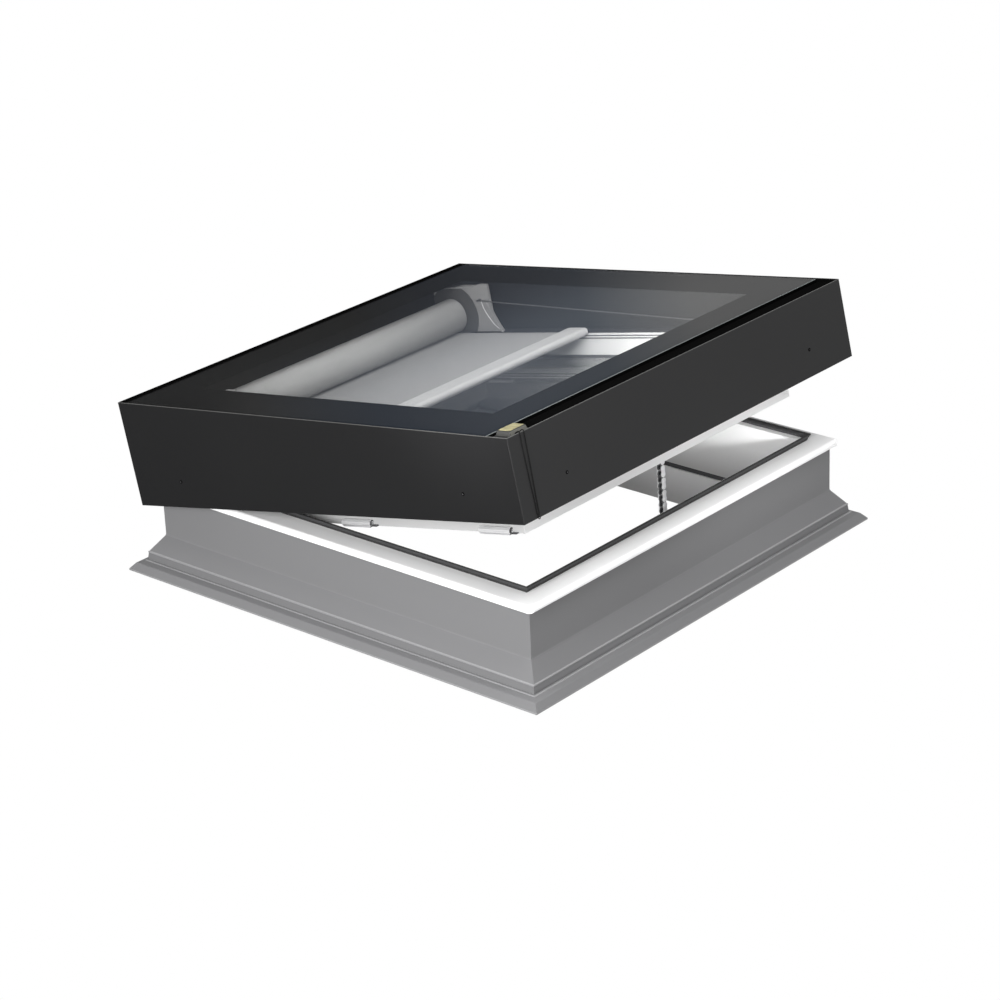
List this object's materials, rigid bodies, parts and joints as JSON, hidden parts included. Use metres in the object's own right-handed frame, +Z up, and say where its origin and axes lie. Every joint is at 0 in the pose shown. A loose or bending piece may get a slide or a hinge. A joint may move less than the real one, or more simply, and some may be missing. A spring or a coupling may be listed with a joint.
{
  "type": "opening roof skylight",
  "caption": "Flat-roof skylight: an insulated grey kerb, a hinged black glazed cover lifted by a drive chain, and a roller blind with guide wires between the glazings.",
  "frame": {"origin": "centre of the roof opening, on the underside of the kerb's roof flange", "axes": "+Z up; +Y towards the hinge side; +X along the hinge axis, to the right when looking along +Y"},
  "size_m": [1, 1.0096, 0.5165],
  "materials": {
    "white_pvc": "smooth white PVC, soft shine",
    "grey_pvc": "mid grey moulded PVC",
    "insulation": "closed-cell foam",
    "lining_grey": "smooth light grey PVC",
    "rubber": "matt black EPDM",
    "black_aluminium": "matt black powder coat",
    "black_plastic": "matt black",
    "printed_border": "black ceramic print under the glass",
    "zinc_steel": "zinc plated",
    "dark_steel": "dark plated steel",
    "drive_grey": "light grey anodised casing",
    "clear_glass": "clear float glass",
    "solar_cell": "tan film under a clear cover",
    "bracket_grey": "light grey moulding",
    "disc_grey": "dark grey moulding",
    "hem_grey": "satin aluminium",
    "blind_cloth": "pale grey woven screen cloth"
  },
  "bodies": {
    "kerb": {"kerb_shell": "grey_pvc", "kerb_insulation": "insulation", "kerb_lining": "lining_grey", "frame_lining": "white_pvc", "lining_seal": "rubber", "rim": "white_pvc", "frame_gasket": "rubber", "hinge_base_left": "zinc_steel", "hinge_base_right": "zinc_steel", "hinge_pin_left": "zinc_steel", "hinge_pin_right": "zinc_steel", "drive_casing": "drive_grey", "drive_motor": "dark_steel", "drive_end_cap_left": "drive_grey", "drive_end_cap_right": "drive_grey", "chain_guide": "drive_grey", "chain_magazine": "drive_grey"},
    "sash": {"sash_frame": "white_pvc", "inner_trim": "white_pvc", "glass_gasket": "rubber", "lower_pane": "clear_glass", "upper_pane": "clear_glass", "pane_spacer": "dark_steel", "edge_seal": "rubber", "spacer_frame": "black_plastic", "cover_carrier": "black_plastic", "cover_skirt": "black_aluminium", "outer_glass": "clear_glass", "glass_border": "printed_border", "glass_seal": "rubber", "cover_screws": "dark_steel", "retaining_clips": "zinc_steel", "clip_tongues": "dark_steel", "sensor_housing": "black_plastic", "solar_cell": "solar_cell", "sensor_cable": "rubber", "cable_grommet": "rubber", "hinge_leaf_left": "zinc_steel", "hinge_leaf_right": "zinc_steel", "chain_bracket": "zinc_steel", "chain_pin": "dark_steel", "end_bracket_left": "bracket_grey", "end_bracket_right": "bracket_grey", "end_disc_left": "disc_grey", "end_disc_right": "disc_grey", "blind_motor": "dark_steel", "guide_wire_left": "dark_steel", "guide_wire_right": "dark_steel", "wire_anchor_left": "bracket_grey", "wire_anchor_right": "bracket_grey"},
    "blind_roller": {"roller_tube": "dark_steel", "cloth_roll": "blind_cloth"},
    "hem": {"hem_bar": "hem_grey", "hem_caps": "bracket_grey", "blind_cloth": "blind_cloth"},
    "chain": {"chain_end_block": "zinc_steel", "chain_outer_plates": "zinc_steel", "chain_inner_plates": "zinc_steel", "chain_rollers": "zinc_steel", "chain_pins": "dark_steel"}
  },
  "joints": [
    {"name": "sash_hinge", "type": "hinge", "parent": "kerb", "child": "sash", "pos_m": [0, 0.43, 0.2035], "axis": [-1, 0, 0], "range_deg": [-12.1, 0]},
    {"name": "chain_pivot", "type": "hinge", "parent": "sash", "child": "chain", "pos_m": [0.02, -0.3661, 0.32559], "axis": [-1, 0, 0], "range_deg": [-0.2, 6.3]},
    {"name": "hem_slide", "type": "slide", "parent": "sash", "child": "hem", "axis": [0, -0.9778, 0.2096], "range_m": [-0.215, 0.39], "deforming": ["blind_cloth"]},
    {"name": "roller_spin", "type": "hinge", "parent": "sash", "child": "blind_roller", "pos_m": [0, 0.40975, 0.27125], "axis": [-1, 0, 0], "range_deg": [-670, 370]}
  ],
  "couplings": [
    {"joint": "chain_pivot", "follows": "sash_hinge", "ratio": -0.5},
    {"joint": "roller_spin", "follows": "hem_slide", "rad_per_m": -29.412}
  ]
}
